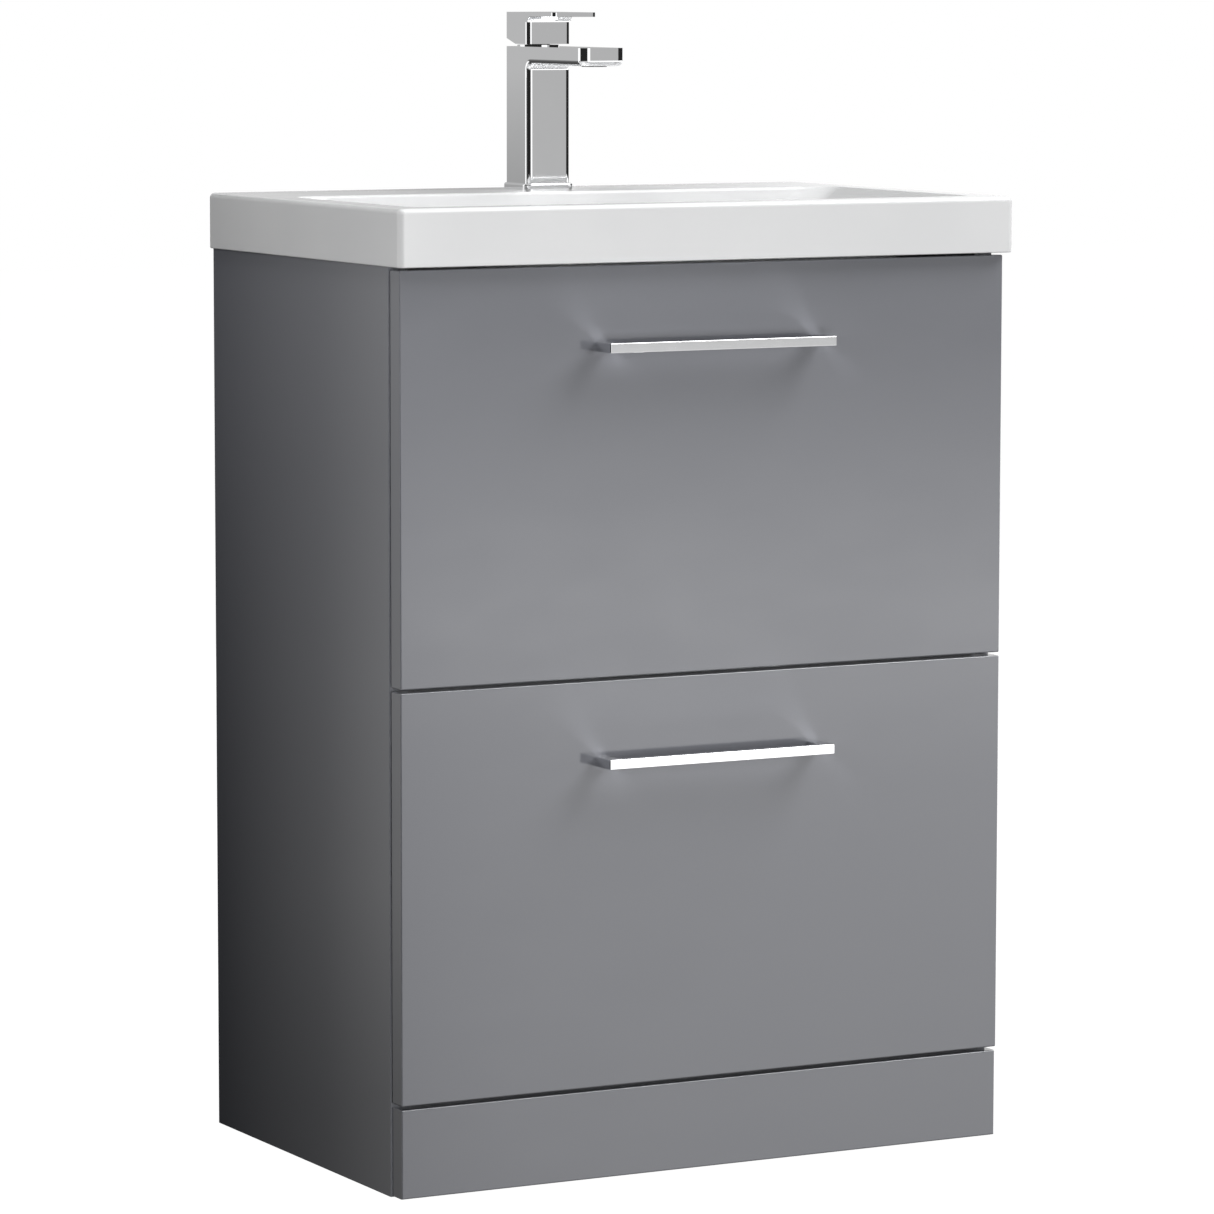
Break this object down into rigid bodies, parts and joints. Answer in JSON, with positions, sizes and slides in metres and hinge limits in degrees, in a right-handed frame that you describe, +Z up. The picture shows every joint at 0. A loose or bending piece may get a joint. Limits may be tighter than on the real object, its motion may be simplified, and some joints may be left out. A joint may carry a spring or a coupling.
{
  "type": "bathroom vanity cabinet",
  "caption": "Floor-standing grey gloss vanity unit with full-width drawers on runners, bar handles, a one-piece basin with a flat tap deck and a single-lever chrome mixer.",
  "frame": {"origin": "on the floor, under the middle of the whole unit's box", "axes": "+X to the right seen from the front, +Y towards the wall, +Z up"},
  "size_m": [0.61, 0.4124, 1.016],
  "materials": {
    "grey_gloss_board": "gloss grey lacquer on board",
    "carcass_board": "matt grey melamine board",
    "drawer_board": "light grey textured melamine board",
    "beech_dowel": "plain beech",
    "zinc_steel": "zinc plated steel",
    "clear_rubber": "translucent soft rubber",
    "black_rubber": "black rubber",
    "chrome_plate": "polished chrome",
    "white_ceramic": "gloss white glaze",
    "white_plastic": "white moulded plastic",
    "yellow_brass": "machined brass",
    "cartridge_plastic": "dark moulded plastic"
  },
  "bodies": {
    "cabinet": {"back_rail_lower": "carcass_board", "back_rail_upper": "carcass_board", "base_panel": "carcass_board", "basin": "white_ceramic", "buffer_pads": "clear_rubber", "cam_fittings": "zinc_steel", "carcass_dowels": "beech_dowel", "front_rails": "carcass_board", "lower_cabinet_rails": "zinc_steel", "overflow_ring": "chrome_plate", "plinth_board": "grey_gloss_board", "plinth_corner_blocks": "carcass_board", "side_panel_left": "grey_gloss_board", "side_panel_right": "grey_gloss_board", "tap_aerator": "cartridge_plastic", "tap_base_ring": "chrome_plate", "tap_body": "chrome_plate", "tap_cartridge": "cartridge_plastic", "tap_collar": "chrome_plate", "tap_fixing_nut": "yellow_brass", "tap_fixing_stud": "zinc_steel", "tap_fixing_washer": "zinc_steel", "trap_body": "white_plastic", "trap_bottle": "white_plastic", "trap_inlet_nut": "white_plastic", "trap_outlet_nut": "white_plastic", "trap_outlet_pipe": "white_plastic", "upper_cabinet_rails": "zinc_steel", "waste_back_nut": "yellow_brass", "waste_body": "chrome_plate", "waste_seal": "black_rubber"},
    "upper_drawer": {"upper_drawer_front": "grey_gloss_board", "upper_handle": "chrome_plate", "upper_handle_screws": "zinc_steel", "upper_drawer_side_left": "drawer_board", "upper_drawer_side_right": "drawer_board", "upper_drawer_inner_front": "drawer_board", "upper_front_screws": "zinc_steel", "upper_drawer_back": "drawer_board", "upper_drawer_base": "drawer_board", "upper_drawer_rails": "zinc_steel", "upper_drawer_cutout_boards": "drawer_board"},
    "lower_drawer": {"lower_drawer_front": "grey_gloss_board", "lower_handle": "chrome_plate", "lower_handle_screws": "zinc_steel", "lower_drawer_side_left": "drawer_board", "lower_drawer_side_right": "drawer_board", "lower_drawer_inner_front": "drawer_board", "lower_front_screws": "zinc_steel", "lower_drawer_back": "drawer_board", "lower_drawer_base": "drawer_board", "lower_drawer_rails": "zinc_steel"},
    "upper_runner_middle": {"upper_middle_rails": "zinc_steel"},
    "lower_runner_middle": {"lower_middle_rails": "zinc_steel"},
    "mixer_swivel": {"tap_swivel_carrier": "cartridge_plastic", "tap_pivot_pin": "zinc_steel"},
    "mixer_lever": {"tap_lever": "chrome_plate", "tap_stem": "yellow_brass", "tap_grub_screw": "zinc_steel"},
    "plug": {"waste_plug": "chrome_plate"}
  },
  "joints": [
    {"name": "upper_drawer_slide", "type": "slide", "parent": "cabinet", "child": "upper_drawer", "axis": [0, -1, 0], "range_m": [0, 0.3]},
    {"name": "upper_runner_slide", "type": "slide", "parent": "cabinet", "child": "upper_runner_middle", "axis": [0, -1, 0], "range_m": [0, 0.15]},
    {"name": "lower_drawer_slide", "type": "slide", "parent": "cabinet", "child": "lower_drawer", "axis": [0, -1, 0], "range_m": [0, 0.3]},
    {"name": "lower_runner_slide", "type": "slide", "parent": "cabinet", "child": "lower_runner_middle", "axis": [0, -1, 0], "range_m": [0, 0.15]},
    {"name": "lever_turn", "type": "hinge", "parent": "cabinet", "child": "mixer_swivel", "pos_m": [0, 0.14625, 0.975], "axis": [0, 0, 1], "range_deg": [-45, 45]},
    {"name": "lever_lift", "type": "hinge", "parent": "mixer_swivel", "child": "mixer_lever", "pos_m": [0, 0.14875, 0.9875], "axis": [-1, 0, 0], "range_deg": [0, 15]},
    {"name": "plug_lift", "type": "slide", "parent": "cabinet", "child": "plug", "axis": [0, 0, 1], "range_m": [0, 0.008]}
  ],
  "couplings": [
    {"joint": "upper_runner_slide", "follows": "upper_drawer_slide", "ratio": 0.5},
    {"joint": "lower_runner_slide", "follows": "lower_drawer_slide", "ratio": 0.5}
  ]
}
